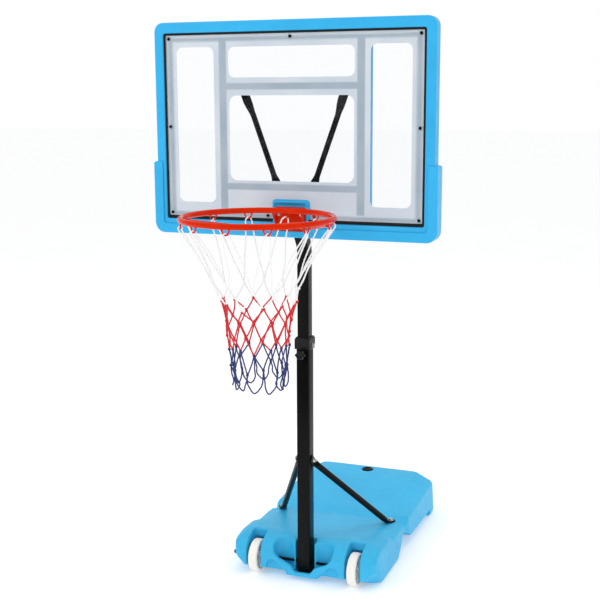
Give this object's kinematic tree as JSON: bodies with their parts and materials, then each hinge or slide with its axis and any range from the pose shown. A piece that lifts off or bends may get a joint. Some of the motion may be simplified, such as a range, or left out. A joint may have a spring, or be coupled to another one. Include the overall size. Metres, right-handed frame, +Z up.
{
  "type": "portable basketball hoop",
  "caption": "Low free-standing basketball hoop: framed clear board, red ring with net, telescoping square pole, struts and a wheeled tank base.",
  "frame": {"origin": "on the floor, directly under the pole's axis, at the tank's underside", "axes": "+Z up, +X to the viewer's right when facing the board, +Y to the rear where the tank lies, ring towards -Y"},
  "size_m": [0.836, 1.249, 1.649],
  "materials": {
    "frame_plastic": "satin blow-moulded, sky blue",
    "tank_plastic": "satin rotomoulded, light blue",
    "board_panel": "clear panel with a grey-white printed border",
    "edge_rubber": "matt black",
    "black_paint": "semi-gloss powder coat, black",
    "red_paint": "gloss powder coat, orange-red",
    "black_plastic": "moulded, black",
    "white_plastic": "moulded, off-white",
    "zinc_steel": "zinc plated",
    "net_cord": "braided cord, white, red and blue"
  },
  "bodies": {
    "base": {"base_tank": "tank_plastic", "wheel_axle": "black_paint", "axle_cap": "black_plastic", "lower_tube": "black_paint", "foot_plug": "black_plastic", "height_collar": "black_plastic", "collar_bolt": "zinc_steel", "knob_nut": "black_paint", "right_brace": "black_paint", "left_brace": "black_paint", "brace_top_bolt": "zinc_steel", "brace_top_nut": "zinc_steel", "left_brace_foot_bolt": "zinc_steel", "right_brace_foot_bolt": "zinc_steel"},
    "hoop": {"upper_tube": "black_paint", "right_board_arm": "black_paint", "left_board_arm": "black_paint", "arm_pole_bolt": "zinc_steel", "arm_pole_nut": "zinc_steel", "left_arm_board_bolt": "zinc_steel", "right_arm_board_bolt": "zinc_steel", "board_frame": "frame_plastic", "board_sheet": "board_panel", "sheet_edge_trim": "edge_rubber", "bottom_guard": "frame_plastic", "sheet_screw_1": "black_paint", "sheet_screw_2": "black_paint", "sheet_screw_3": "black_paint", "sheet_screw_4": "black_paint", "sheet_screw_5": "black_paint", "sheet_screw_6": "black_paint", "sheet_screw_7": "black_paint", "sheet_screw_8": "black_paint", "sheet_screw_9": "black_paint", "rim_ring": "red_paint", "rim_bracket": "red_paint", "right_rim_brace": "red_paint", "left_rim_brace": "red_paint", "rim_bolt_1": "zinc_steel", "rim_bolt_2": "zinc_steel", "rim_bolt_3": "zinc_steel", "rim_bolt_4": "zinc_steel", "rim_nut_1": "zinc_steel", "rim_nut_2": "zinc_steel", "rim_nut_3": "zinc_steel", "rim_nut_4": "zinc_steel", "net": "net_cord"},
    "left_wheel_body": {"left_wheel": "white_plastic"},
    "right_wheel_body": {"right_wheel": "white_plastic"},
    "knob_body": {"height_knob": "black_plastic"},
    "filler_cap_body": {"filler_cap": "black_plastic"}
  },
  "joints": [
    {"name": "height_slide", "type": "slide", "parent": "base", "child": "hoop", "axis": [0, 0, 1], "range_m": [0, 0.2]},
    {"name": "left_wheel_spin", "type": "hinge", "parent": "base", "child": "left_wheel_body", "pos_m": [-0.158, 0, 0.05], "axis": [1, 0, 0], "continuous": true},
    {"name": "right_wheel_spin", "type": "hinge", "parent": "base", "child": "right_wheel_body", "pos_m": [0.158, 0, 0.05], "axis": [1, 0, 0], "continuous": true},
    {"name": "knob_turn", "type": "hinge", "parent": "base", "child": "knob_body", "pos_m": [0, -0.03, 0.704], "axis": [0, 1, 0], "continuous": true},
    {"name": "filler_cap_lift", "type": "slide", "parent": "base", "child": "filler_cap_body", "axis": [0, 0, 1], "range_m": [0, 0.03]}
  ]
}
